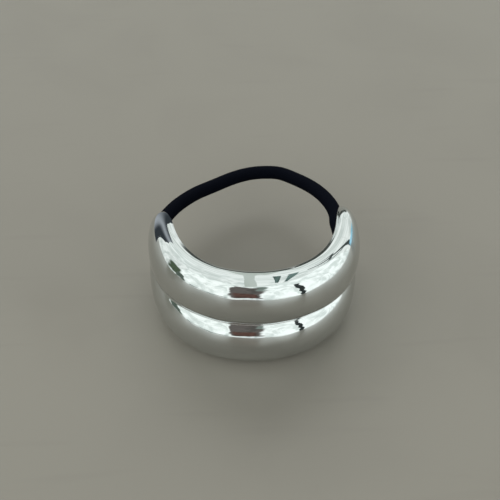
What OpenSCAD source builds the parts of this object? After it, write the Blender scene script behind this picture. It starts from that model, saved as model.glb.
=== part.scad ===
// Hair tie: a bright cuff with two lobes, open at the back, and a round elastic that
// runs inside the cuff's hollow and crosses the open side from tip to tip.
// Millimetres. The cuff rests on its lower lobe at Z = 0 and its front faces -Y.

/* [Cuff] */
// Length of the cuff's middle line from the front to one tip
arm_length = 36.3; // [35:0.1:38]
// Angle that the middle line turns through from the front to one tip
arm_turn = 86.5; // [80:0.5:88]
// How much of the turning lies towards the front
front_share = 0.58; // [0.5:0.01:0.7]
// How much of the turning lies halfway along each arm
middle_share = 0.54; // [0.5:0.01:0.65]
// Thickness of the cuff's wall
wall = 0.8; // [0.6:0.05:0.9]

/* [Lobes] */
// Height of each lobe's centre above or below the middle, at the front
lobe_offset = 5.7; // [5.4:0.1:5.9]
// Radius of each lobe in height, at the front
lobe_radius = 6.2; // [6:0.1:6.6]
// How far each lobe bulges out from the middle line at the front
lobe_bulge = 4.3; // [4.3:0.1:4.8]
// Radius of the groove between the lobes, at the front
groove_radius = 0.3; // [0.3:0.05:0.6]
// Angle from the lobe's widest point over its crest to the rim
rim_angle = 117; // [105:1:120]

/* [Tips] */
// Height of the tip's arch above its middle
tip_half_height = 4; // [3.6:0.1:4.5]
// Bulge at the tip, as a share of the bulge at the front
tip_bulge = 0.57; // [0.57:0.01:0.65]
// Place along the arm where the rim starts to draw back in a curve
corner_from = 0.69; // [0.65:0.01:0.75]
// How far the rim has drawn back at the tip, as a share of its reach
corner_share = 0.6; // [0.5:0.01:0.65]
// Place along the arm where the lobes start to draw in to the tip
taper_from = 0.7; // [0.65:0.01:0.75]
// Place along the arm where the groove starts to flatten
flatten_from = 0.25; // [0.15:0.05:0.4]
// How far the groove has flattened at the tip
tip_flattening = 0.8; // [0.6:0.05:0.85]
// Radius of the flattened groove at the tip
tip_groove_radius = 2; // [1:0.1:2.5]

/* [Elastic] */
// Diameter of the elastic
elastic_d = 3; // [2.8:0.1:3]
// Gap between the elastic and the pieces that hold it
elastic_gap = 0.15; // [0.1:0.05:0.2]

/* [Keepers] */
// Place of each keeper along its arm
keeper_place = 0.62; // [0.5:0.01:0.7]
// Width of a keeper along the arm
keeper_w = 2; // [1.5:0.1:2.5]
// Thickness of a keeper's strip
keeper_t = 0.7; // [0.5:0.1:0.9]

/* [Hidden] */

// Steps that lay out the middle line of one arm
line_steps = 180;
// Stations along one arm, evenly up to the corner and closer together round it
even_stations = 21;
corner_stations = 12;
// Points on half a section, in the groove and on the lobe
groove_points = 4;
lobe_points = 10;
// Exponents of the bulge's drawing-in, the groove's flattening and the tip's taper
bulge_power = 3;
flatten_power = 2;
taper_power = 2;
// Sides of the elastic, and steps along its hidden stretch
elastic_sides = 8;
inner_steps = 24;

// The free stretch of the elastic between the two mouths
back_route = [
    [-18.4, 17.4, 11.8],
    [-17.2, 19.9, 11.6],
    [-14.9, 23.3, 11.1],
    [-11.3, 26.9, 10.6],
    [-7.0, 29.9, 10.1],
    [-2.6, 32.6, 9.8],
    [1.0, 34.0, 9.7],
    [4.6, 34.4, 9.7],
    [8.2, 33.7, 9.9],
    [11.5, 31.3, 10.2],
    [14.6, 28.2, 10.6],
    [16.9, 24.6, 11.1],
    [18.3, 20.7, 11.6],
    [18.8, 17.5, 11.8]
];

// Middle line of one arm

function heading(t) =
    arm_turn * (t + front_share * sin(180 * t) / PI - middle_share * sin(360 * t) / (2 * PI));

line_step = arm_length / line_steps;
line = [
    for (i = 0, x = 0, y = 0;
         i <= line_steps;
         x = x + line_step * cos(heading((i + 0.5) / line_steps)),
         y = y + line_step * sin(heading((i + 0.5) / line_steps)),
         i = i + 1)
    [i / line_steps, x, y]
];
line_x = [for (p = line) [p[0], p[1]]];
line_y = [for (p = line) [p[0], p[2]]];

// Lobes along the arm: t runs from -1 at the left tip to 1 at the right tip

middle_z = lobe_offset + lobe_radius;

// Share of the way from one place on the arm to the tip
function past(t, from) = max(0, (abs(t) - from) / (1 - from));
function taper(t) = pow(past(t, taper_from), taper_power);
function half_height(t) = middle_z + (tip_half_height - middle_z) * taper(t);
function bulge(t) = lobe_bulge * (1 - (1 - tip_bulge) * pow(abs(t), bulge_power));
function flattening(t) = pow(past(t, flatten_from), flatten_power);

// A section is drawn with round lobes first, then pressed to its bulge
function lobe_z(t) = half_height(t) * lobe_offset / middle_z * (1 - tip_flattening * flattening(t));
function lobe_r(t) = half_height(t) - lobe_z(t);
function groove_r(t) = groove_radius + (tip_groove_radius - groove_radius) * flattening(t);
function groove_angle(t) = asin(lobe_z(t) / (lobe_r(t) + groove_r(t)));
function groove_x(t) = (lobe_r(t) + groove_r(t)) * cos(groove_angle(t));
function press(t, inset) = (bulge(t) - inset) / (lobe_r(t) - inset);

// The rim draws back towards the tip in a quarter of an ellipse
function corner(t) = 1 - sqrt(1 - pow(min(1, past(t, corner_from)), 2));
function before_lobe(t) = groove_angle(t) * (1 + groove_r(t) / lobe_r(t));
function rim_at(t) =
    (rim_angle + before_lobe(t)) * (1 - corner_share * corner(t)) - before_lobe(t);

// Half of a section from the middle height to the rim, as distances out and up
function half_section(t, inset) = concat(
    [for (i = [0 : groove_points])
        let (a = groove_angle(t) * i / groove_points, r = groove_r(t) + inset)
        [press(t, inset) * (groove_x(t) - r * cos(a)), r * sin(a)]],
    [for (i = [1 : lobe_points])
        let (a = -groove_angle(t) + (rim_at(t) + groove_angle(t)) * i / lobe_points,
             r = lobe_r(t) - inset)
        [press(t, inset) * r * cos(a), lobe_z(t) + r * sin(a)]]
);

function mirrored(half) = [for (i = [len(half) - 1 : -1 : 1]) [half[i][0], -half[i][1]]];
function turned_back(points) = [for (i = [len(points) - 1 : -1 : 0]) points[i]];
function section(t, inset) = let (half = half_section(t, inset)) concat(mirrored(half), half);

// Places on the cuff, first as drawn and then centred on Z

function side(t) = t < 0 ? -1 : 1;
function drawn_place(t, out, up) =
    let (h = heading(abs(t)))
    [side(t) * (lookup(abs(t), line_x) + out * sin(h)), lookup(abs(t), line_y) - out * cos(h), up];

front_y = -lobe_bulge;
tip_y = max([for (p = concat(section(1, 0), section(1, wall))) drawn_place(1, p[0], p[1]).y]);
centre_y = (front_y + tip_y) / 2;

function place(t, out, up) = drawn_place(t, out, up) + [0, -centre_y, middle_z];

// Cuff

arm = concat(
    [for (i = [0 : even_stations - 1]) corner_from * i / even_stations],
    [for (i = [0 : corner_stations])
        corner_from + (1 - corner_from) * sin(90 * i / corner_stations)]
);
stations = concat([for (i = [len(arm) - 1 : -1 : 1]) -arm[i]], arm);

function wall_ring(t) = [
    for (p = concat(section(t, 0), turned_back(section(t, wall)))) place(t, p[0], p[1])
];

// Faces between neighbouring rings of n points
function ring_faces(rings, n) = [
    for (i = [0 : rings - 2], j = [0 : n - 1], half = [0, 1])
        let (a = i * n + j, b = i * n + (j + 1) % n)
        half == 0 ? [a, a + n, b] : [b, a + n, b + n]
];

// End of the wall at one tip, as a strip between its outer and inner edges
function strip_faces(first, n, flip) = [
    for (j = [0 : n / 2 - 2], half = [0, 1])
        let (a = first + j, b = first + j + 1, c = first + n - 1 - j, d = c - 1,
             face = half == 0 ? [a, b, c] : [b, d, c])
        flip ? turned_back(face) : face
];

module cuff() {
    rings = [for (t = stations) wall_ring(t)];
    n = len(rings[0]);
    last = (len(rings) - 1) * n;
    color("gainsboro")
        polyhedron(
            points = [for (ring = rings, p = ring) p],
            faces = concat(ring_faces(len(rings), n), strip_faces(0, n, false), strip_faces(last, n, true))
        );
}

// Elastic

elastic_r = elastic_d / 2;

// Distance out of the ridge that the groove makes inside the hollow
function ridge_out(t) = press(t, wall) * (groove_x(t) - groove_r(t) - wall);
function elastic_out(t) = ridge_out(t) - elastic_gap - elastic_r;
function elastic_place(t) = place(t, elastic_out(t), 0);

// The free stretch, from the left mouth to the right one
mouth_left = elastic_place(-1);
mouth_right = elastic_place(1);
route = concat([mouth_left], back_route, [mouth_right]);

// Direction along the arm, from left to right
function along(t) = [cos(heading(abs(t))), side(t) * sin(heading(abs(t))), 0];

function unit(v) = v / norm(v);

// Direction along a line of points, with the two end directions given
function way(points, i, first, last) =
    i == 0 ? first : i == len(points) - 1 ? last : unit(points[i + 1] - points[i - 1]);

module tube(points, first, last) {
    rings = [
        for (i = [0 : len(points) - 1])
            let (w = way(points, i, first, last),
                 across = unit(cross(w, [0, 0, 1])),
                 up = cross(across, w))
            for (k = [0 : elastic_sides - 1])
                let (a = 360 * k / elastic_sides)
                points[i] + elastic_r * (cos(a) * across + sin(a) * up)
    ];
    start_cap = [for (k = [0 : elastic_sides - 1]) k];
    end_cap = [for (k = [elastic_sides - 1 : -1 : 0]) (len(points) - 1) * elastic_sides + k];
    walls = ring_faces(len(points), elastic_sides);
    polyhedron(points = rings, faces = concat([start_cap], walls, [end_cap]));
}

module elastic_inner() {
    points = [for (i = [0 : inner_steps]) elastic_place(2 * i / inner_steps - 1)];
    color("#15161f")
        tube(points, along(-1), along(1));
}

module elastic_back() {
    color("#15161f")
        tube(route, -along(-1), -along(1));
}

// Keepers: a plain strip bent round the elastic, its legs against the lobes' inner wall

slot_half = elastic_r + elastic_gap;

// Distance out of a lobe's inner wall at a height above the middle
function inner_wall_out(t, up) =
    let (r = lobe_r(t) - wall)
    press(t, wall) * sqrt(pow(r, 2) - pow(lobe_z(t) - up, 2));

module keeper(t) {
    slot_in = elastic_out(t) - slot_half;
    leg_end = inner_wall_out(t, slot_half) - elastic_gap;
    half_h = slot_half + keeper_t;
    at = place(t, 0, 0);
    color("silver")
        translate(at)
            rotate([0, 0, side(t) * heading(abs(t)) - 90])
                difference() {
                    translate([slot_in - keeper_t, -keeper_w / 2, -half_h])
                        cube([leg_end - slot_in + keeper_t, keeper_w, 2 * half_h]);
                    translate([slot_in, -keeper_w, -slot_half])
                        cube([leg_end - slot_in + keeper_t, 2 * keeper_w, 2 * slot_half]);
                }
}

module keeper_left() {
    keeper(-keeper_place);
}

module keeper_right() {
    keeper(keeper_place);
}

cuff();
keeper_left();
keeper_right();
elastic_inner();
elastic_back();
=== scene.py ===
"""Hair tie: a bright two-lobed ponytail cuff on a round black elastic, dressed for a studio picture."""

import logging
import math
from dataclasses import dataclass, field
from enum import Enum

import bpy
import numpy as np
from bpy.types import Material, Node, NodeTree, Object
from bpy.types import NodeSocket as Socket
from mathutils import Matrix


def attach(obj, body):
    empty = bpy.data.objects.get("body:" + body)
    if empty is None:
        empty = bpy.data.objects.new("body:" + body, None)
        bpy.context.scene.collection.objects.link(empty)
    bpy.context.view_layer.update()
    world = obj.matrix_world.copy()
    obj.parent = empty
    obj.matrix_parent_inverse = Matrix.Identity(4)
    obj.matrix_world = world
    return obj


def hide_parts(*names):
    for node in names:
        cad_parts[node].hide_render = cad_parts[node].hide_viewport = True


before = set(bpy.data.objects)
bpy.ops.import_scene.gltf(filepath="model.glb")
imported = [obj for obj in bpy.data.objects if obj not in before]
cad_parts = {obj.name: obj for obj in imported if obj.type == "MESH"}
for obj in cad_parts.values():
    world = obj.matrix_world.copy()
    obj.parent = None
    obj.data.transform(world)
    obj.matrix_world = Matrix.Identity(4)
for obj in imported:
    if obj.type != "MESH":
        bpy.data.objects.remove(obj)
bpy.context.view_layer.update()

LOG = logging.getLogger("hair_tie")

MM = 0.001
Array = np.ndarray
Pair = tuple[float, float]
Triple = tuple[float, float, float]
Colour = Triple


class ArmSide(Enum):
    """The two arms of the cuff."""

    LEFT = -1
    RIGHT = 1


# --- Meshes ---


@dataclass
class PieceMesh:
    """Vertices and faces of one piece while it is being built."""

    vertices: list[Array] = field(default_factory=list)
    faces: list[tuple[int, ...]] = field(default_factory=list)
    count: int = 0

    def add(self, points: Array) -> Array:
        """Add points.

        Args:
            points: An array whose last axis holds x, y and z.

        Returns:
            The number of each point, in an array with the other axes.
        """
        numbers = self.count + np.arange(points[..., 0].size).reshape(points.shape[:-1])
        self.vertices.append(points.reshape(-1, 3))
        self.count += numbers.size
        return numbers

    def join_grid(self, numbers: Array, closed: bool = False, flip: bool = False) -> None:
        """Join a grid of point numbers with quads.

        Args:
            numbers: Point numbers, one row of the array for each column of the grid.
            closed: True if the second axis runs round a ring.
            flip: True to turn the faces over.
        """
        grid = np.concatenate([numbers, numbers[:, :1]], axis=1) if closed else numbers
        corners = [grid[:-1, :-1], grid[1:, :-1], grid[1:, 1:], grid[:-1, 1:]]
        quads = np.stack(corners, axis=-1).reshape(-1, 4)
        if flip:
            quads = quads[:, ::-1]
        self.faces.extend(map(tuple, quads.tolist()))

    def cap(self, ring: Array, flip: bool = False) -> None:
        """Close a ring of point numbers with one face."""
        order = ring[::-1] if flip else ring
        self.faces.append(tuple(int(n) for n in order))

    def to_object(self, name: str, masks: dict[str, Array] | None = None) -> Object:
        """Make the Blender object.

        Args:
            name: Name of the object and of its mesh.
            masks: Values for each point, by the name of the mask.

        Returns:
            The new object, linked to the scene.
        """
        mesh = bpy.data.meshes.new(name)
        mesh.from_pydata(np.concatenate(self.vertices).tolist(), [], self.faces)
        mesh.polygons.foreach_set("use_smooth", np.ones(len(mesh.polygons), bool))
        for key, values in (masks or {}).items():
            mesh.attributes.new(key, "FLOAT", "POINT").data.foreach_set("value", values.astype(np.float32))
        mesh.validate()
        mesh.update()
        made = bpy.data.objects.new(name, mesh)
        bpy.context.scene.collection.objects.link(made)
        return made


def dress(made: Object, finish: Material, node: str) -> None:
    """Give a piece its finish and its place in the frame.

    Args:
        made: The piece.
        finish: Its material.
        node: The CAD node that it replaces.
    """
    made.data.materials.append(finish)
    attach(made, "root")
    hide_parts(node)


def unit(vectors: Array) -> Array:
    """Scale vectors along the last axis to length 1."""
    return vectors / np.linalg.norm(vectors, axis=-1, keepdims=True)


def even_line(points: Array, step: float) -> Array:
    """Place points evenly along a line.

    Args:
        points: The line, as closely spaced points.
        step: Distance wanted between neighbours, in metres.

    Returns:
        Evenly spaced points with the same two ends.
    """
    along = np.concatenate([[0.0], np.cumsum(np.linalg.norm(np.diff(points, axis=0), axis=1))])
    places = np.linspace(0.0, along[-1], max(2, round(along[-1] / step) + 1))
    return np.stack([np.interp(places, along, points[:, k]) for k in range(3)], axis=1)


def smooth_line(points: Array, first: Array, last: Array, parts: int = 24) -> Array:
    """Draw a smooth line through points.

    Args:
        points: The points that it passes through.
        first: Direction at the first point.
        last: Direction at the last point.
        parts: Parts between two neighbouring points.

    Returns:
        Closely spaced points along the line.
    """
    chord = np.linalg.norm(np.diff(points, axis=0), axis=1)
    at = np.concatenate([[0.0], np.cumsum(chord)])
    slope = np.empty_like(points)
    slope[1:-1] = (points[2:] - points[:-2]) / (at[2:] - at[:-2])[:, None]
    slope[0], slope[-1] = unit(first), unit(last)
    u = (np.arange(parts) / parts)[:, None]
    pieces = []
    for a, b, ma, mb, d in zip(points[:-1], points[1:], slope[:-1], slope[1:], chord):
        pieces.append(
            (2 * u**3 - 3 * u**2 + 1) * a + (u**3 - 2 * u**2 + u) * d * ma
            + (3 * u**2 - 2 * u**3) * b + (u**3 - u**2) * d * mb
        )
    return np.concatenate(pieces + [points[-1:]])


# --- Shader graphs ---


class Plot:
    """A node tree that is being laid out."""

    def __init__(self, tree: NodeTree) -> None:
        """Start on an empty tree."""
        self.tree = tree
        tree.nodes.clear()

    def node(self, kind: str, inputs: dict[str | int, object] | None = None, **settings: object) -> Node:
        """Add a node.

        Args:
            kind: Blender's name of the node type.
            inputs: A value or an output socket for each input, by name or by number.
            **settings: Properties of the node.

        Returns:
            The new node.
        """
        made = self.tree.nodes.new(kind)
        for key, value in settings.items():
            setattr(made, key, value)
        for key, value in (inputs or {}).items():
            if isinstance(value, Socket):
                self.tree.links.new(value, made.inputs[key])
            else:
                made.inputs[key].default_value = value
        return made

    def math(self, operation: str, *values: object) -> Socket:
        """Work out one number from numbers and sockets, by Blender's name of the sum."""
        return self.node("ShaderNodeMath", dict(enumerate(values)), operation=operation).outputs[0]

    def noise(self, place: Socket, scale: object, detail: object, pull: float = 0.0) -> Node:
        """Add a noise with its scale, its count of finer noises and how far it is pulled about."""
        inputs = {"Vector": place, "Scale": scale, "Detail": detail, "Distortion": pull}
        return self.node("ShaderNodeTexNoise", inputs)

    def effect(self, group: NodeTree, inputs: dict[str, object]) -> Socket:
        """Add a shared node group and read its one output."""
        return self.node("ShaderNodeGroup", inputs, node_tree=group).outputs[0]

    def surface(self, inputs: dict[str, object]) -> None:
        """Finish a material with its surface shader."""
        shader = self.node("ShaderNodeBsdfPrincipled", inputs)
        self.node("ShaderNodeOutputMaterial", {"Surface": shader.outputs["BSDF"]})

    def ramp(
        self, value: object, low: float, high: float, to_low: float = 0.0, to_high: float = 1.0
    ) -> Socket:
        """Ease from one number to another.

        Args:
            value: The number or output socket that is read.
            low: Where the easing starts.
            high: Where it ends.
            to_low: The result at the start.
            to_high: The result at the end.

        Returns:
            The output socket.
        """
        made = self.node(
            "ShaderNodeMapRange",
            {"Value": value, "From Min": low, "From Max": high, "To Min": to_low, "To Max": to_high},
            interpolation_type="SMOOTHSTEP",
        )
        return made.outputs["Result"]

    def blend(self, share: object, a: object, b: object, blend_type: str = "MIX") -> Socket:
        """Mix two colours.

        Args:
            share: How much of the second colour there is.
            a: The first colour.
            b: The second colour.
            blend_type: Blender's name of the way they are mixed.

        Returns:
            The output socket.
        """
        first, second = ((*value, 1.0) if isinstance(value, tuple) else value for value in (a, b))
        inputs = {0: share, 6: first, 7: second}
        return self.node("ShaderNodeMix", inputs, data_type="RGBA", blend_type=blend_type).outputs[2]


def start_material(name: str) -> tuple[Material, Plot]:
    """Start a material on an empty tree.

    Args:
        name: Name of the material.

    Returns:
        The material and its plot.
    """
    made = bpy.data.materials.new(name)
    made.use_nodes = True
    return made, Plot(made.node_tree)


def start_effect(name: str, inputs: dict[str, float], output: str) -> tuple[Plot, Node, Socket]:
    """Start a shader node group with named inputs and one output.

    Args:
        name: Name of the group.
        inputs: The starting value of each input, by name.
        output: Name of the output.

    Returns:
        The group's plot, its input node and the socket that takes its result.
    """
    tree = bpy.data.node_groups.new(name, "ShaderNodeTree")
    plot = Plot(tree)
    for key, value in inputs.items():
        made = tree.interface.new_socket(name=key, in_out="INPUT", socket_type="NodeSocketFloat")
        made.default_value = value
    tree.interface.new_socket(name=output, in_out="OUTPUT", socket_type="NodeSocketFloat")
    return plot, plot.node("NodeGroupInput"), plot.node("NodeGroupOutput").inputs[output]


class Effects:
    """The node groups that several finishes share, each built once."""

    cloud_run: Pair = (0.42, 0.72)
    cloud_pull: float = 0.6
    rub_turn: Triple = (0.4, 0.9, 0.2)
    rub_stretch: Triple = (1.0, 9.0, 9.0)
    rub_run: Pair = (0.6, 0.75)
    rub_share: float = 0.35
    least_softness: float = 0.001

    def __init__(self) -> None:
        """Build the groups."""
        self.handling = self._handling()
        self.peel = self._peel()
        self.card = self._card()

    def _handling(self) -> NodeTree:
        """Build the group of fingermarks and fine rubs, as a mask from 0 to 1.

        Returns:
            The group.
        """
        plot, given, result = start_effect("handling_marks", {"Scale": 220.0, "Cover": 0.5}, "Mask")
        place, scale = plot.node("ShaderNodeTexCoord").outputs["Object"], given.outputs["Scale"]
        drawn_out = {"Vector": place, "Rotation": self.rub_turn, "Scale": self.rub_stretch}
        turned = plot.node("ShaderNodeMapping", drawn_out).outputs["Vector"]
        cloud = plot.noise(place, scale, 3.0, self.cloud_pull).outputs["Fac"]
        rub = plot.noise(turned, scale, 2.0).outputs["Fac"]
        soft = plot.math("MULTIPLY", plot.ramp(cloud, *self.cloud_run), given.outputs["Cover"])
        fine = plot.math("MULTIPLY", plot.ramp(rub, *self.rub_run), self.rub_share)
        plot.tree.links.new(plot.math("MINIMUM", plot.math("ADD", soft, fine), 1.0), result)
        return plot.tree

    @staticmethod
    def _peel() -> NodeTree:
        """Build the group of fine unevenness left by moulding or weaving, as a height.

        Returns:
            The group.
        """
        plot, given, result = start_effect("fine_unevenness", {"Scale": 900.0, "Detail": 2.0}, "Height")
        place = plot.node("ShaderNodeTexCoord").outputs["Object"]
        grain = plot.noise(place, given.outputs["Scale"], given.outputs["Detail"])
        plot.tree.links.new(grain.outputs["Fac"], result)
        return plot.tree

    def _card(self) -> NodeTree:
        """Build the group that marks one soft-edged card on the sky, from where its edges are.

        Returns:
            The group.
        """
        names = ("Across", "Up", "Left", "Right", "Bottom", "Top", "Softness")
        plot, given, result = start_effect("studio_card", dict.fromkeys(names, 0.0), "Mask")
        softness = plot.math("MAXIMUM", given.outputs["Softness"], self.least_softness)
        mask: object = 1.0
        edges = (("Across", "Left"), ("Right", "Across"), ("Up", "Bottom"), ("Top", "Up"))
        for further, nearer in edges:
            inside = plot.math("SUBTRACT", given.outputs[further], given.outputs[nearer])
            share = plot.ramp(plot.math("DIVIDE", inside, softness), -0.5, 0.5)
            mask = plot.math("MULTIPLY", mask, share)
        plot.tree.links.new(mask, result)
        return plot.tree


# --- Finishes ---


@dataclass(frozen=True)
class BrightMetal:
    """Mirror-bright plating with slight handling marks."""

    slot: str
    tint: Colour
    dull_tint: Colour
    roughness: float
    marked_roughness: float
    mark_scale: float
    mark_cover: float
    unevenness: float
    unevenness_scale: float = 420.0
    wear: float = 0.35

    def material(self, effects: Effects) -> Material:
        """Build the material.

        Args:
            effects: The shared node groups.

        Returns:
            The material.
        """
        made, plot = start_material(self.slot)
        marks = plot.effect(effects.handling, {"Scale": self.mark_scale, "Cover": self.mark_cover})
        at_rim = plot.node("ShaderNodeAttribute", attribute_name="rim_wear").outputs["Fac"]
        worn = plot.math("MULTIPLY", at_rim, self.wear)
        dull = plot.math("MINIMUM", plot.math("ADD", marks, worn), 1.0)
        grain = plot.effect(effects.peel, {"Scale": self.unevenness_scale})
        bump = plot.node("ShaderNodeBump", {"Strength": 1.0, "Distance": self.unevenness, "Height": grain})
        plot.surface({
            "Base Color": plot.blend(dull, self.tint, self.dull_tint),
            "Metallic": 1.0,
            "Roughness": plot.ramp(dull, 0.0, 1.0, self.roughness, self.marked_roughness),
            "Normal": bump.outputs["Normal"],
        })
        return made


@dataclass(frozen=True)
class WovenCover:
    """Matt braided cover of the elastic, near black with a blue cast, with painted shade that darkens the
    hollows between the strands.
    """

    slot: str = "black_elastic"
    # Painted shade: dark is the colour down in the braid's hollows, light the colour on the strands'
    # crests.
    dark: Colour = (0.0012, 0.0014, 0.002)
    light: Colour = (0.0035, 0.0045, 0.0085)
    hollow_shade_run: Pair = (0.15, 0.95)
    lint: Colour = (0.007, 0.009, 0.014)
    lint_share: float = 0.35
    mark_scale: float = 900.0
    mark_cover: float = 0.3
    yarn_scale: float = 9000.0
    yarn_relief: float = 0.02 * MM
    yarn_strength: float = 0.6
    roughness: float = 0.8
    roughness_spread: float = 0.06
    roughness_run: Pair = (0.3, 0.7)
    gloss: float = 0.02
    sheen: float = 0.004
    sheen_roughness: float = 0.5
    sheen_tint: Colour = (0.55, 0.65, 1.0)

    def material(self, effects: Effects) -> Material:
        """Build the material.

        Args:
            effects: The shared node groups.

        Returns:
            The material.
        """
        made, plot = start_material(self.slot)
        height = plot.node("ShaderNodeAttribute", attribute_name="strand_height").outputs["Fac"]
        marks = plot.effect(effects.handling, {"Scale": self.mark_scale, "Cover": self.mark_cover})
        grain = plot.effect(effects.peel, {"Scale": self.yarn_scale})
        # Painted shade: the colour runs from dark in the hollows between strands to lighter on their
        # crests, by strand height.
        yarn_with_hollow_shade = plot.blend(plot.ramp(height, *self.hollow_shade_run), self.dark, self.light)
        relief = {"Strength": self.yarn_strength, "Distance": self.yarn_relief, "Height": grain}
        bump = plot.node("ShaderNodeBump", relief)
        smoothest, roughest = self.roughness - self.roughness_spread, self.roughness + self.roughness_spread
        plot.surface({
            "Base Color": plot.blend(plot.math("MULTIPLY", marks, self.lint_share), yarn_with_hollow_shade, self.lint),
            "Roughness": plot.ramp(grain, *self.roughness_run, smoothest, roughest),
            "Specular IOR Level": self.gloss,
            "Sheen Weight": self.sheen,
            "Sheen Roughness": self.sheen_roughness,
            "Sheen Tint": (*self.sheen_tint, 1.0),
            "Normal": bump.outputs["Normal"],
        })
        return made


@dataclass(frozen=True)
class TableTop:
    """Plain pale table with a slight gloss."""

    slot: str = "studio_floor"
    tint: Colour = (0.315, 0.305, 0.265)
    mottle: Colour = (0.292, 0.282, 0.246)
    mottle_scale: float = 30.0
    mottle_cover: float = 0.5
    roughness: float = 0.3
    mottled_roughness: float = 0.34
    gloss: float = 0.2

    def material(self, effects: Effects) -> Material:
        """Build the material.

        Args:
            effects: The shared node groups.

        Returns:
            The material.
        """
        made, plot = start_material(self.slot)
        mask = plot.effect(effects.handling, {"Scale": self.mottle_scale, "Cover": self.mottle_cover})
        plot.surface({
            "Base Color": plot.blend(mask, self.tint, self.mottle),
            "Roughness": plot.ramp(mask, 0.0, 1.0, self.roughness, self.mottled_roughness),
            "Specular IOR Level": self.gloss,
        })
        return made


# --- Cuff ---


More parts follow.
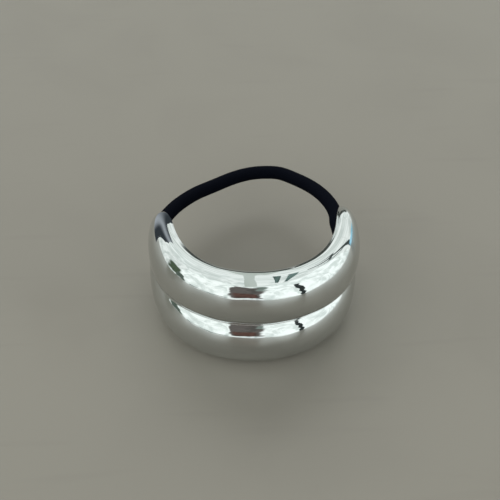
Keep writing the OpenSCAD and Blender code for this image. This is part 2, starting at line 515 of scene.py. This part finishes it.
@dataclass(frozen=True)
class CuffForm:
    """Shape of the cuff, with the same sizes as its CAD solid.

    A place on the wall is given by t, which runs from -1 at the left tip to 1 at the right one,
    and by q, the length round the section from mid-height up (or down, below 0), before the
    section is pressed flat to its bulge.
    """

    arm_length: float = 36.3 * MM
    arm_turn: float = math.radians(86.5)
    front_share: float = 0.58
    middle_share: float = 0.54
    wall: float = 0.8 * MM
    lobe_offset: float = 5.7 * MM
    lobe_radius: float = 6.2 * MM
    lobe_bulge: float = 4.3 * MM
    groove_radius: float = 0.3 * MM
    rim_angle: float = math.radians(117)
    tip_half_height: float = 4.0 * MM
    tip_bulge: float = 0.57
    taper_from: float = 0.7
    flatten_from: float = 0.25
    tip_flattening: float = 0.8
    tip_groove_radius: float = 2.0 * MM
    bulge_power: float = 3.0
    centre_y: float = 10.585 * MM
    elastic_radius: float = 1.5 * MM
    elastic_gap: float = 0.15 * MM
    square_from: float = 0.76
    square_by: float = 0.92
    probe: float = 0.02 * MM
    line_steps: int = 1800

    @property
    def middle_z(self) -> float:
        """Height of the middle of the cuff."""
        return self.lobe_offset + self.lobe_radius

    def heading(self, t: Array) -> Array:
        """Direction of the middle line on the right arm.

        Args:
            t: Places along the arm, from 0 to 1.

        Returns:
            Angles from +X.
        """
        front = self.front_share * np.sin(np.pi * t) / np.pi
        middle = self.middle_share * np.sin(2 * np.pi * t) / (2 * np.pi)
        return self.arm_turn * (t + front - middle)

    def line(self, t: Array) -> tuple[Array, Array]:
        """Place of the middle line on the right arm.

        Args:
            t: Places along the arm, from 0 to 1.

        Returns:
            x and y before the cuff is centred.
        """
        at = np.arange(self.line_steps + 1) / self.line_steps
        h, step = self.heading((at[1:] + at[:-1]) / 2), self.arm_length / self.line_steps
        x, y = (np.concatenate([[0.0], np.cumsum(part(h))]) * step for part in (np.cos, np.sin))
        return np.interp(t, at, x), np.interp(t, at, y)

    @staticmethod
    def past(t: Array, start: float) -> Array:
        """Share of the way from one place on the arm to the tip."""
        return np.maximum(0.0, (np.abs(t) - start) / (1 - start))

    def taper(self, t: Array) -> Array:
        """How far the lobes have drawn in to the tip, from 0 to 1."""
        return self.past(t, self.taper_from) ** 2

    def half_height(self, t: Array) -> Array:
        """Height of the crests above the middle."""
        return self.middle_z + (self.tip_half_height - self.middle_z) * self.taper(t)

    def bulge(self, t: Array) -> Array:
        """How far the lobes bulge out from the middle line."""
        return self.lobe_bulge * (1 - (1 - self.tip_bulge) * np.abs(t) ** self.bulge_power)

    def flattening(self, t: Array) -> Array:
        """How far the groove has flattened, from 0 to 1."""
        return self.past(t, self.flatten_from) ** 2

    def lobe_z(self, t: Array) -> Array:
        """Height of each lobe's centre above or below the middle."""
        share = self.lobe_offset / self.middle_z * (1 - self.tip_flattening * self.flattening(t))
        return self.half_height(t) * share

    def lobe_r(self, t: Array) -> Array:
        """Radius of the lobes before they are pressed."""
        return self.half_height(t) - self.lobe_z(t)

    def groove_r(self, t: Array) -> Array:
        """Radius of the groove before it is pressed."""
        return self.groove_radius + (self.tip_groove_radius - self.groove_radius) * self.flattening(t)

    def groove_angle(self, t: Array) -> Array:
        """Angle that half of the groove takes up."""
        return np.arcsin(self.lobe_z(t) / (self.lobe_r(t) + self.groove_r(t)))

    def groove_length(self, t: Array) -> Array:
        """Length of half of the groove round the section."""
        return self.groove_r(t) * self.groove_angle(t)

    def rim_length(self, t: Array) -> Array:
        """Length round the section from mid-height to the rim."""
        return self.groove_length(t) + self.lobe_r(t) * (self.rim_angle + self.groove_angle(t))

    def section(self, t: Array, q: Array, inset: float) -> tuple[Array, Array]:
        """Place on the section.

        Args:
            t: Places along the cuff.
            q: Lengths round the section.
            inset: Depth below the outer face of the wall.

        Returns:
            Distance out from the middle line, and height above the middle.
        """
        lobe_r, lobe_z = self.lobe_r(t), self.lobe_z(t)
        groove_r, groove = self.groove_r(t), self.groove_angle(t)
        press = (self.bulge(t) - inset) / (lobe_r - inset)
        length = np.abs(q)
        in_groove = length < self.groove_length(t)
        a = np.minimum(length / groove_r, groove)
        b = (length - self.groove_length(t)) / lobe_r - groove
        groove_x = (lobe_r + groove_r) * np.cos(groove)
        out = np.where(in_groove, groove_x - (groove_r + inset) * np.cos(a), (lobe_r - inset) * np.cos(b))
        up = np.where(in_groove, (groove_r + inset) * np.sin(a), lobe_z + (lobe_r - inset) * np.sin(b))
        return press * out, np.sign(q) * up

    def place(self, t: Array, out: Array, up: Array) -> Array:
        """Turn a place on the section into a point.

        Args:
            t: Places along the cuff.
            out: Distances out from the middle line.
            up: Heights above the middle.

        Returns:
            Points, in metres.
        """
        h = self.heading(np.abs(t))
        x, y = self.line(np.abs(t))
        across = np.where(t < 0, -1.0, 1.0) * (x + out * np.sin(h))
        back = y - out * np.cos(h) - self.centre_y
        return np.stack(np.broadcast_arrays(across, back, up + self.middle_z), axis=-1)

    def wall_point(self, t: Array, q: Array, inset: float) -> Array:
        """Point on the wall at a depth below its outer face."""
        return self.place(t, *self.section(t, q, inset))

    def inner_face(self, t: Array, q: Array) -> Array:
        """Point on the inner face, square under the outer one where the crest falls to the tip.

        Args:
            t: Places along the cuff.
            q: Lengths round the section.

        Returns:
            Points, in metres.
        """
        nudge = self.probe / self.arm_length
        outer, drawn = self.wall_point(t, q, 0.0), self.wall_point(t, q, self.wall)
        ahead, behind = np.minimum(t + nudge, 1.0), np.maximum(t - nudge, -1.0)
        along = self.wall_point(ahead, q, 0.0) - self.wall_point(behind, q, 0.0)
        turn = self.wall_point(t, q + self.probe, 0.0) - self.wall_point(t, q - self.probe, 0.0)
        depth = np.linalg.norm(outer - drawn, axis=-1, keepdims=True)
        square = outer - depth * unit(np.cross(along, turn))
        share = (np.abs(t) - self.square_from) / (self.square_by - self.square_from)
        share = np.clip(share, 0.0, 1.0)[..., None]
        return drawn + share**2 * (3 - 2 * share) * (square - drawn)

    def elastic_out(self, t: Array) -> Array:
        """Distance out of the elastic's middle, clear of the groove's ridge inside the hollow."""
        ridge = self.section(t, np.zeros_like(t), self.wall)[0]
        return ridge - self.elastic_gap - self.elastic_radius

    def elastic_point(self, t: Array) -> Array:
        """Point on the middle of the hidden stretch of the elastic."""
        t = np.asarray(t, float)
        return self.place(t, self.elastic_out(t), np.zeros_like(t))

    def along(self, t: float) -> Array:
        """Direction along the cuff from left to right."""
        h = float(self.heading(np.asarray(abs(t))))
        return np.array([math.cos(h), math.copysign(math.sin(h), t), 0.0])


# Each wave in the plating: its share, its turns in each millimetre of x, y and z, and its start.
WAVES = (
    (1.0, 0.83, 0.31, 0.9, 0.4),
    (0.8, -0.55, 0.7, 1.25, 2.1),
    (0.6, 1.3, -0.45, 0.6, 4.0),
    (0.5, 0.35, 0.2, -2.1, 1.3),
)


@dataclass
class Cuff:
    """The bright cuff: one thin wall with a rounded rim and rounded tips."""

    form: CuffForm
    column_step: float = 0.24 * MM
    corner_columns: int = 48
    corner_run: float = 11.0 * MM
    corner_share: float = 0.6
    outline_points: int = 4001
    groove_rows: int = 8
    groove_rows_reach: float = 0.6
    lobe_rows: int = 48
    rim_parts: int = 12
    rim_fullness: float = 5.0
    ripple: float = 0.011 * MM
    wear_reach: float = 0.7 * MM

    def edge_length(self, sigma: Array) -> Array:
        """Length round the section to the middle of the rounded rim.

        Args:
            sigma: Distances along the right arm.

        Returns:
            Lengths round the section, half a wall short of the rim.
        """
        form, half, t = self.form, self.form.wall / 2, sigma / self.form.arm_length
        q = form.rim_length(t)
        rim = form.wall_point(t, q, half)
        run = unit(np.gradient(rim, axis=0))
        turn = (rim - form.wall_point(t, q - form.probe, half)) / form.probe
        square = turn - np.sum(turn * run, axis=-1, keepdims=True) * run
        return q - half / np.linalg.norm(square, axis=-1)

    def outline(self) -> tuple[Array, Array]:
        """Lay out the columns of the right arm.

        Returns:
            Distance along the arm and length round the section to the rim, at each column.
        """
        end = self.form.arm_length - self.form.wall / 2
        fine = np.linspace(0.0, end, self.outline_points)
        length = self.edge_length(fine)
        straight = end - self.corner_run
        sigma = np.linspace(0.0, straight, round(straight / self.column_step) + 1)[:-1]
        angle = np.linspace(0.0, np.pi / 2, self.corner_columns + 1)
        sigma = np.concatenate([sigma, straight + self.corner_run * np.sin(angle)])
        cut = np.concatenate([np.zeros(len(sigma) - len(angle)), self.corner_share * (1 - np.cos(angle))])
        return sigma, np.interp(sigma, fine, length) * (1 - cut)

    def rows(self, q_rim: Array, t: Array) -> Array:
        """Lay out the rows of each column, closer together in the groove.

        Args:
            q_rim: Length round the section of the rim at each column.
            t: Place of each column.

        Returns:
            Lengths round the section, by column and row, from the lower rim to the upper one.
        """
        groove = np.minimum(self.form.groove_length(t), self.groove_rows_reach * q_rim)[:, None]
        first = groove * np.arange(self.groove_rows + 1) / self.groove_rows
        rest = groove + (q_rim[:, None] - groove) * np.arange(1, self.lobe_rows + 1) / self.lobe_rows
        upper = np.concatenate([first, rest], axis=1)
        return np.concatenate([-upper[:, :0:-1], upper], axis=1)

    def waves(self, points: Array) -> Array:
        """Slight waviness of the plated face, as a height at each point."""
        x, y, z = (points[..., k] / MM for k in range(3))
        return self.ripple * sum(share * np.sin(a * x + b * y + c * z + d) for share, a, b, c, d in WAVES)

    @staticmethod
    def edge_directions(spots: Array, through: Array) -> Array:
        """Ways out of the wall's edge at spots round it, square to the edge and to the way through."""
        ahead, behind = unit(np.roll(spots, -1, axis=0) - spots), unit(spots - np.roll(spots, 1, axis=0))
        return unit(np.cross(unit(ahead + behind), through))

    def build(self, finish: Material) -> Object:
        """Build and dress the cuff.

        Args:
            finish: Material of the plating.

        Returns:
            The cuff's object.
        """
        form, half = self.form, self.form.wall / 2
        sigma, q_rim = self.outline()
        sigma = np.concatenate([-sigma[:0:-1], sigma])
        q_rim = np.concatenate([q_rim[:0:-1], q_rim])
        t = (sigma / form.arm_length)[:, None]
        q = self.rows(q_rim, t[:, 0])
        outer = form.wall_point(t, q, 0.0)
        inside = form.inner_face(np.broadcast_to(t, q.shape), q)
        outer = outer + unit(outer - inside) * self.waves(outer)[..., None]
        middle, through = (outer + inside) / 2, outer - inside

        column, row = q.shape[0] - 1, q.shape[1] - 1
        edge = [(c, 0) for c in range(column)] + [(column, r) for r in range(row)]
        edge += [(c, row) for c in range(column, 0, -1)] + [(0, r) for r in range(row, 0, -1)]
        c, r = np.array(edge).T
        outward = half * self.edge_directions(middle[c, r], through[c, r])

        mesh = PieceMesh()
        outer_numbers, inner_numbers = mesh.add(outer), mesh.add(inside)
        mesh.join_grid(outer_numbers)
        mesh.join_grid(inner_numbers, flip=True)
        angles = np.pi * np.arange(1, self.rim_parts) / self.rim_parts
        power = 2 / self.rim_fullness
        across = (np.sign(np.cos(angles)) * np.abs(np.cos(angles)) ** power)[:, None]
        over = (np.sin(angles) ** power)[:, None]
        centre, thick = middle[c, r][:, None], through[c, r][:, None] / 2
        ring_numbers = mesh.add(centre + thick * across + outward[:, None] * over)
        outer_ring, inner_ring = outer_numbers[c, r][:, None], inner_numbers[c, r][:, None]
        strip = np.concatenate([outer_ring, ring_numbers, inner_ring], axis=1)
        mesh.join_grid(np.concatenate([strip, strip[:1]]), flip=True)

        wear = np.ones(mesh.count)
        near = np.clip(1 - (q_rim[:, None] - np.abs(q)) / self.wear_reach, 0, 1) ** 2
        wear[outer_numbers] = wear[inner_numbers] = near
        made = mesh.to_object("cuff_shell", {"rim_wear": wear})
        dress(made, finish, "cuff")
        return made


# --- Elastic ---


# Points on the middle of the free stretch, from the left mouth to the right one.
BACK_ROUTE_MM = (
    (-18.4, 17.4, 11.8), (-17.2, 19.9, 11.6), (-14.9, 23.3, 11.1), (-11.3, 26.9, 10.6),
    (-7.0, 29.9, 10.1), (-2.6, 32.6, 9.8), (1.0, 34.0, 9.7), (4.6, 34.4, 9.7),
    (8.2, 33.7, 9.9), (11.5, 31.3, 10.2), (14.6, 28.2, 10.6), (16.9, 24.6, 11.1),
    (18.3, 20.7, 11.6), (18.8, 17.5, 11.8),
)


@dataclass
class Elastic:
    """The round elastic with its braided cover: one loop, in a free and a hidden stretch."""

    form: CuffForm
    strands: int = 14
    ring_step: float = 0.115 * MM
    ring_points: int = 84
    relief: float = 0.11 * MM
    braid_slope: float = 1.0
    roundness: float = 0.55
    fine_points: int = 2001
    path_stride: int = 4

    def free_line(self) -> Array:
        """Draw the middle of the free stretch.

        Returns:
            Evenly spaced points, from the left mouth to the right one.
        """
        ends = self.form.elastic_point(np.array([-1.0, 1.0]))
        points = np.concatenate([ends[:1], np.array(BACK_ROUTE_MM) * MM, ends[1:]])
        line = smooth_line(points, -self.form.along(-1.0), -self.form.along(1.0))
        return even_line(line, self.ring_step)

    def hidden_line(self) -> Array:
        """Middle of the hidden stretch, from the right mouth to the left one."""
        line = self.form.elastic_point(np.linspace(1.0, -1.0, self.fine_points))
        return even_line(line, self.ring_step)

    @staticmethod
    def length(line: Array) -> float:
        """Length of a line of points."""
        return float(np.linalg.norm(np.diff(line, axis=0), axis=1).sum())

    def braid(self, s: Array, angle: Array, cells: float) -> Array:
        """Height of the braid, whose strands pass over and under each other.

        Args:
            s: Distance along the elastic.
            angle: Angle round it.
            cells: Crossings in each metre.

        Returns:
            Heights from 0 to 1.
        """
        turn = self.strands * angle / (2 * np.pi)
        u, v = turn + s * cells, turn - s * cells
        heights = []
        for own, other, sign in ((u, v, 1.0), (v, u, -1.0)):
            number = np.floor(own + 1e-9)
            across = 2 * (own - number) - 1
            over = sign * np.where(number % 2 == 0, 1.0, -1.0) * np.sin(np.pi * other)
            round_top = np.sqrt(np.clip(1 - across**2, 0, 1))
            heights.append(self.roundness * round_top + (1 - self.roundness) * (1 + over) / 2)
        return np.maximum(*heights)

    def tube(self, name: str, line: Array, start: float, cells: float) -> Object:
        """Build one stretch.

        Args:
            name: Name of the piece.
            line: Its middle line, from one mouth to the other.
            start: Distance along the loop where it starts.
            cells: Crossings of the braid in each metre.

        Returns:
            The stretch's object.
        """
        way = np.gradient(line, axis=0)
        for end in (0, -1):
            way[end] = -self.form.along(math.copysign(1.0, line[end, 0]))
        way = unit(way)
        across = unit(np.cross(way, [0.0, 0.0, 1.0]))
        upward = np.cross(across, way)
        s = start + np.linspace(0.0, self.length(line), len(line))
        angle = 2 * np.pi * np.arange(self.ring_points) / self.ring_points
        height = self.braid(s[:, None], angle[None], cells)
        radius = self.form.elastic_radius - self.relief * (1 - height)
        round_way = np.cos(angle)[:, None] * across[:, None] + np.sin(angle)[:, None] * upward[:, None]
        mesh = PieceMesh()
        numbers = mesh.add(line[:, None] + radius[..., None] * round_way)
        mesh.join_grid(numbers, closed=True)
        mesh.cap(numbers[0])
        mesh.cap(numbers[-1], flip=True)
        return mesh.to_object(name, {"strand_height": height.reshape(-1)})

    def build(self, finish: Material) -> list[Object]:
        """Build and dress both stretches, with one braid that runs on all round the loop.

        Args:
            finish: Material of the cover.

        Returns:
            The free stretch and the hidden one.
        """
        free, hidden = self.free_line(), self.hidden_line()
        free_length, whole = self.length(free), self.length(free) + self.length(hidden)
        cell = self.braid_slope * 2 * np.pi * self.form.elastic_radius / self.strands
        cells = 2 * round(whole / cell / 2) / whole
        back = self.tube("elastic_free", free, 0.0, cells)
        inner = self.tube("elastic_hidden", hidden, free_length, cells)
        dress(back, finish, "elastic_back")
        dress(inner, finish, "elastic_inner")
        LOG.info("elastic: %.1f mm free, %.1f mm all round", free_length / MM, whole / MM)
        return [back, inner]


# --- Keepers ---


@dataclass
class Keeper:
    """A plain strip bent round the elastic inside one arm."""

    form: CuffForm
    side: ArmSide
    place: float = 0.62
    width: float = 2.0 * MM
    thick: float = 0.7 * MM
    bend: float = 0.75 * MM
    edge: float = 0.16 * MM
    edge_chamfer: float = 0.3
    bend_parts: int = 8
    corner_parts: int = 4
    wear: float = 0.3

    @property
    def slot_half(self) -> float:
        """Half the height of the slot that holds the elastic."""
        return self.form.elastic_radius + self.form.elastic_gap

    def strip_line(self) -> tuple[Array, Array]:
        """Lay out the middle of the strip.

        Returns:
            Distances out and heights, one row a point, and the direction at each point.
        """
        form, t = self.form, np.asarray(self.place)
        slot_in = float(form.elastic_out(t)) - self.slot_half
        r = float(form.lobe_r(t)) - form.wall
        press = (float(form.bulge(t)) - form.wall) / r
        reach = press * math.sqrt(r**2 - (float(form.lobe_z(t)) - self.slot_half) ** 2)
        leg_end = reach - form.elastic_gap
        back, high = slot_in - self.thick / 2, self.slot_half + self.thick / 2
        turn = np.linspace(0.0, np.pi / 2, self.bend_parts + 1)
        out, up = back + self.bend * (1 - np.sin(turn)), high - self.bend * (1 - np.cos(turn))
        bend = np.stack([out, up], axis=1)
        way = np.stack([-np.cos(turn), -np.sin(turn)], axis=1)
        upper = np.concatenate([[[leg_end, high]], bend])
        upper_way = np.concatenate([[[-1.0, 0.0]], way])
        line = np.concatenate([upper, upper[::-1] * [1, -1]])
        ways = np.concatenate([upper_way, upper_way[::-1] * [-1, 1]])
        return line, ways

    def cross_section(self) -> Array:
        """Lay out the section of the strip, with eased edges.

        Returns:
            Thickness and width of each point, counter-clockwise.
        """
        turn = np.linspace(0.0, np.pi / 2, self.corner_parts + 1)
        points = []
        for number, (sx, sy) in enumerate(((1, 1), (-1, 1), (-1, -1), (1, -1))):
            angle = turn + number * np.pi / 2
            deep = sx * (self.thick / 2 - self.edge) + self.edge * np.cos(angle)
            wide = sy * (self.width / 2 - self.edge) + self.edge * np.sin(angle)
            points.append(np.stack([deep, wide], axis=1))
        return np.concatenate(points)

    def build(self, finish: Material) -> Object:
        """Build and dress the keeper.

        Args:
            finish: Material of the strip.

        Returns:
            The keeper's object.
        """
        line, ways = self.strip_line()
        section = self.cross_section()
        t = np.asarray(self.side.value * self.place)
        h = float(self.form.heading(np.abs(t)))
        out_way = np.array([self.side.value * math.sin(h), -math.cos(h), 0.0])
        up_way = np.array([0.0, 0.0, 1.0])
        origin = self.form.place(t, np.asarray(0.0), np.asarray(0.0))
        chamfer = self.edge_chamfer * self.edge
        eased = ((self.edge, 0.0), (chamfer, chamfer), (0.0, self.edge))
        rings = [(line[0] + ways[0] * back, ways[0], shrink) for shrink, back in eased]
        rings += [(point, way, 0.0) for point, way in zip(line[1:-1], ways[1:-1])]
        rings += [(line[-1] - ways[-1] * back, ways[-1], shrink) for shrink, back in eased[::-1]]
        mesh, numbers = PieceMesh(), []
        for point, way, shrink in rings:
            scale = np.array([1 - 2 * shrink / self.thick, 1 - 2 * shrink / self.width])
            deep, wide = (section * scale).T[..., None]
            out, up = point[0] - deep * way[1], point[1] + deep * way[0]
            spots = origin + out * out_way + up * up_way + wide * self.form.along(float(t))
            numbers.append(mesh.add(spots))
        flip = self.side is ArmSide.RIGHT
        mesh.join_grid(np.array(numbers), closed=True, flip=flip)
        mesh.cap(numbers[0], flip=flip)
        mesh.cap(numbers[-1], flip=not flip)
        name = self.side.name.lower()
        made = mesh.to_object(f"keeper_strip_{name}", {"rim_wear": np.full(mesh.count, self.wear)})
        dress(made, finish, f"keeper_{name}")
        return made


# --- Studio ---


@dataclass(frozen=True)
class Card:
    """One soft-edged card of light or shade round the object.

    Its edges are angles in degrees. An overhead card is instead a strip of a fan, whose ribs meet
    high up behind the object: its sides are ribs, and its ends are shares of the way to the back.
    """

    name: str
    left: float
    right: float
    bottom: float
    top: float
    softness: float
    colour: Colour
    overhead: bool = False


SEEN_CARDS = (
    Card("ceiling", -181, 181, 48, 101, 10, (1.19, 1.27, 1.24)),
    Card("window_left", -80, -21, 2.5, 60, 3, (1.40, 1.50, 1.46)),
    Card("window_right", 6, 104, 2.0, 60, 3, (1.40, 1.50, 1.47)),
    Card("back_low_left", -181, -150, -3, 13, 4, (0.09, 0.10, 0.09)),
    Card("back_low_right", 158, 181, -3, 13, 4, (0.09, 0.10, 0.09)),
    Card("edge_overhead", 0.62, 9.0, 0.345, 0.41, 0.02, (0.10, 0.12, 0.12), True),
    Card("shade_middle", -21, 6, 5, 52, 2.5, (0.17, 0.155, 0.145)),
    Card("shade_warm", -18, 3, 7, 24, 4, (0.15, 0.085, 0.07)),
    Card("gap_low", -10, 5, -4, 5, 3, (1.05, 1.13, 1.13)),
    Card("leaves_middle", 3, 9, 36, 56, 3, (0.30, 0.36, 0.33)),
    Card("bar_right", 34.6, 39.2, 0, 41, 0.8, (0.05, 0.06, 0.06)),
    Card("leaves_left", -95, -79, 2, 23, 4, (0.10, 0.14, 0.09)),
    Card("leaves_left_low", -81, -68, 0, 11, 3, (0.13, 0.17, 0.14)),
    Card("sill_left", -62, -24, 1.8, 3.4, 1.0, (0.16, 0.17, 0.16)),
    Card("far_right_bar", 112.5, 115.3, 0, 60, 1.2, (0.05, 0.07, 0.07)),
    Card("far_right_lintel", 113, 154, 53.6, 56.4, 1.2, (0.10, 0.12, 0.12)),
    Card("far_right_blue", 110, 126, -5, 10, 3, (0.50, 0.92, 1.15)),
)
SOFT_LIGHT_CARDS = (
    Card("above", -181, 181, 52, 101, 14, (0.34, 0.345, 0.33)),
    Card("daylight_left", -118, -14, 6, 52, 12, (1.6, 1.6, 1.55)),
    Card("daylight_right", 12, 96, 6, 50, 12, (1.0, 1.0, 0.98)),
    Card("daylight_back_left", -181, -140, 20, 62, 12, (2.0, 2.0, 1.94)),
    Card("daylight_back_right", 140, 181, 20, 62, 12, (2.0, 2.0, 1.94)),
)


@dataclass(frozen=True)
class NearCard:
    """A flat card close to the object, with a soft gleam across it, which only reflections show."""

    name: str
    corners: tuple[Triple, ...]
    dark: Colour
    gleam: Colour
    gleam_from: float
    gleam_to: float

    def material(self) -> Material:
        """Build the card's own faint glow, brightest halfway between the places of its gleam.

        Returns:
            The material.
        """
        made, plot = start_material(self.name)
        made.cycles.emission_sampling = "NONE"
        place = plot.node("ShaderNodeTexCoord").outputs["Object"]
        across = plot.node("ShaderNodeSeparateXYZ", {"Vector": place}).outputs["X"]
        middle = (self.gleam_from + self.gleam_to) / 2
        rise = plot.ramp(across, self.gleam_from * MM, middle * MM)
        fall = plot.ramp(across, middle * MM, self.gleam_to * MM, 1.0, 0.0)
        colour = plot.blend(plot.math("MULTIPLY", rise, fall), self.dark, self.gleam)
        glow = plot.node("ShaderNodeEmission", {"Color": colour, "Strength": 1.0}).outputs[0]
        plot.node("ShaderNodeOutputMaterial", {"Surface": glow})
        return made

    def build(self) -> None:
        """Hang the card in its place."""
        mesh = PieceMesh()
        mesh.cap(mesh.add(np.array(self.corners) * MM))
        made = mesh.to_object(self.name)
        made.data.materials.append(self.material())
        made.visible_camera = made.visible_diffuse = False
        made.visible_shadow = made.visible_transmission = False


NEAR_CARDS = (
    NearCard(
        "card_behind_left_tip",
        ((-52, 22, 14.2), (-7, 22, 14.2), (-7, 22, 30), (-19, 22, 50), (-40, 22, 56), (-52, 22, 48)),
        (0.045, 0.055, 0.065), (0.42, 0.46, 0.50), -43.0, -13.0,
    ),
    NearCard(
        "card_beam",
        ((-9.5, -44, 70), (1.5, -40, 70), (1.7, -2, 70), (4.2, 32, 70), (16, 150, 70), (12, 150, 70),
         (0.6, 32, 70), (-3.2, -2, 70)),
        (0.62, 0.70, 0.64), (0.70, 0.78, 0.73), -10.0, 12.0,
    ),
    NearCard(
        "card_leaves",
        ((10.2, -26, 70), (13.4, -26, 70), (12.2, -1, 70), (11.4, 15, 70), (6.4, 17, 70), (7.6, -2, 70)),
        (0.05, 0.09, 0.08), (0.16, 0.24, 0.22), 6.0, 14.0,
    ),
    NearCard(
        "card_twig",
        ((18.6, -25, 70), (20.8, -25, 70), (18.0, 0, 70), (16.0, 14, 70), (13.6, 16, 70), (15.4, 0, 70)),
        (0.05, 0.09, 0.08), (0.20, 0.30, 0.28), 10.0, 22.0,
    ),
)


@dataclass
class Studio:
    """Plain pale table, soft light all round and the camera."""

    effects: Effects
    room: Colour = (1.13, 1.20, 1.17)
    fan_centre: Pair = (0.085, 0.67)
    sway: float = 2.2
    sway_scale: float = 5.0
    sway_run: Pair = (0.2, 0.8)
    cloud_scale: float = 7.0
    cloud_shape: Triple = (1.0, 1.0, 0.3)
    cloud_pull: float = 0.8
    cloud_run: Pair = (0.35, 0.62)
    cloud_dark: Colour = (0.72, 0.75, 0.74)
    cloud_light: Colour = (1.06, 1.06, 1.06)
    dim: Colour = (0.20, 0.20, 0.20)
    backdrop: Colour = (0.30, 0.295, 0.265)
    floor_side: float = 6.0
    camera_place: Triple = (-14.64 * MM, -131.11 * MM, 156.38 * MM)
    camera_tilt: float = math.radians(46.0)
    camera_yaw: float = math.radians(5.795)
    camera_roll: float = math.radians(-2.12)
    lens: float = 69.264

    def camera(self) -> None:
        """Set up the camera at the photograph's angle."""
        data = bpy.data.cameras.new("camera")
        data.lens, data.sensor_width, data.clip_start = self.lens, 36.0, 0.005
        yaw = Matrix.Rotation(-self.camera_yaw, 4, "Z")
        tilt = Matrix.Rotation(math.pi / 2 - self.camera_tilt, 4, "X")
        roll = Matrix.Rotation(-self.camera_roll, 4, "Z")
        made = bpy.data.objects.new("camera", data)
        made.matrix_world = Matrix.Translation(self.camera_place) @ yaw @ tilt @ roll
        bpy.context.scene.collection.objects.link(made)
        bpy.context.scene.camera = made

    def floor(self) -> None:
        """Lay the table."""
        half = self.floor_side / 2
        mesh = PieceMesh()
        corners = [[-half, -half, 0], [half, -half, 0], [half, half, 0], [-half, half, 0]]
        mesh.cap(mesh.add(np.array(corners)))
        made = mesh.to_object("studio_floor")
        made.data.materials.append(TableTop().material(self.effects))

    def sky(self, plot: Plot, way: Socket, base: Colour, cards: tuple[Card, ...]) -> Socket:
        """Lay cards over an even sky.

        Args:
            plot: The tree to add to.
            way: The direction looked in.
            base: Colour of the sky between the cards.
            cards: The cards, each laid over those before it.

        Returns:
            The output socket of the colour.
        """
        parts = plot.node("ShaderNodeSeparateXYZ", {"Vector": way}).outputs
        towards = plot.math("MULTIPLY", parts["Y"], -1.0)
        azimuth = plot.math("DEGREES", plot.math("ARCTAN2", parts["X"], towards))
        elevation = plot.math("DEGREES", plot.math("ARCSINE", parts["Z"]))
        stir = plot.noise(way, self.sway_scale, 1.0).outputs["Color"]
        stirred = plot.node("ShaderNodeSeparateColor", {"Color": stir}).outputs
        swing = (*self.sway_run, -self.sway, self.sway)
        shifts = [plot.ramp(stirred[key], *swing) for key in ("Red", "Green")]
        azimuth, elevation = (plot.math("ADD", *pair) for pair in zip((azimuth, elevation), shifts))
        aside = plot.math("SUBTRACT", parts["X"], self.fan_centre[0])
        rib = plot.math("DIVIDE", aside, plot.math("SUBTRACT", self.fan_centre[1], parts["Y"]))
        colour: object = base
        for card in cards:
            across, up = (rib, parts["Y"]) if card.overhead else (azimuth, elevation)
            places = {"Across": across, "Up": up}
            for key in ("left", "right", "bottom", "top", "softness"):
                places[key.capitalize()] = getattr(card, key)
            group = plot.node("ShaderNodeGroup", places, node_tree=self.effects.card, label=card.name)
            colour = plot.blend(group.outputs["Mask"], colour, card.colour)
        return colour

    def light(self) -> None:
        """Hang the cards round the object: one set that reflections show, one soft set that lights."""
        world = bpy.data.worlds.new("studio")
        world.use_nodes = True
        plot = Plot(world.node_tree)
        way = plot.node("ShaderNodeTexCoord").outputs["Generated"]
        drawn_out = plot.node("ShaderNodeMapping", {"Vector": way, "Scale": self.cloud_shape}).outputs[0]
        cloud = plot.noise(drawn_out, self.cloud_scale, 4.0, self.cloud_pull).outputs["Fac"]
        panes = plot.blend(plot.ramp(cloud, *self.cloud_run), self.cloud_dark, self.cloud_light)
        seen = plot.blend(1.0, self.sky(plot, way, self.room, SEEN_CARDS), panes, "MULTIPLY")
        soft = self.sky(plot, way, self.dim, SOFT_LIGHT_CARDS)
        seen, soft, plain = (
            plot.node("ShaderNodeBackground", {"Color": colour, "Strength": 1.0}).outputs[0]
            for colour in (seen, soft, (*self.backdrop, 1.0))
        )
        path = plot.node("ShaderNodeLightPath").outputs
        lit = plot.node("ShaderNodeMixShader", {0: path["Is Glossy Ray"], 1: soft, 2: seen}).outputs[0]
        whole = plot.node("ShaderNodeMixShader", {0: path["Is Camera Ray"], 1: lit, 2: plain}).outputs[0]
        plot.node("ShaderNodeOutputWorld", {"Surface": whole})
        bpy.context.scene.world = world


PLATING = BrightMetal(
    slot="bright_plating",
    tint=(0.64, 0.655, 0.65),
    dull_tint=(0.58, 0.59, 0.585),
    roughness=0.03,
    marked_roughness=0.13,
    mark_scale=160.0,
    mark_cover=0.35,
    unevenness=0.0012 * MM,
)
STRIP = BrightMetal(
    slot="bright_strip",
    tint=(0.60, 0.61, 0.61),
    dull_tint=(0.46, 0.46, 0.46),
    roughness=0.16,
    marked_roughness=0.34,
    mark_scale=420.0,
    mark_cover=0.6,
    unevenness=0.004 * MM,
)


def main() -> None:
    """Build the studio, the elastic, the cuff and the keepers, and report each piece."""
    logging.basicConfig(level=logging.INFO, format="%(name)s: %(message)s")
    bpy.context.scene.view_settings.view_transform = "Standard"
    effects, form = Effects(), CuffForm()
    studio = Studio(effects)
    studio.camera()
    pieces = Elastic(form).build(WovenCover().material(effects))
    pieces.append(Cuff(form).build(PLATING.material(effects)))
    strip = STRIP.material(effects)
    pieces += [Keeper(form, side).build(strip) for side in ArmSide]
    studio.floor()
    for card in NEAR_CARDS:
        card.build()
    studio.light()
    for piece in pieces:
        LOG.info("%s: %d faces", piece.name, len(piece.data.polygons))


if __name__ == "__main__":
    main()
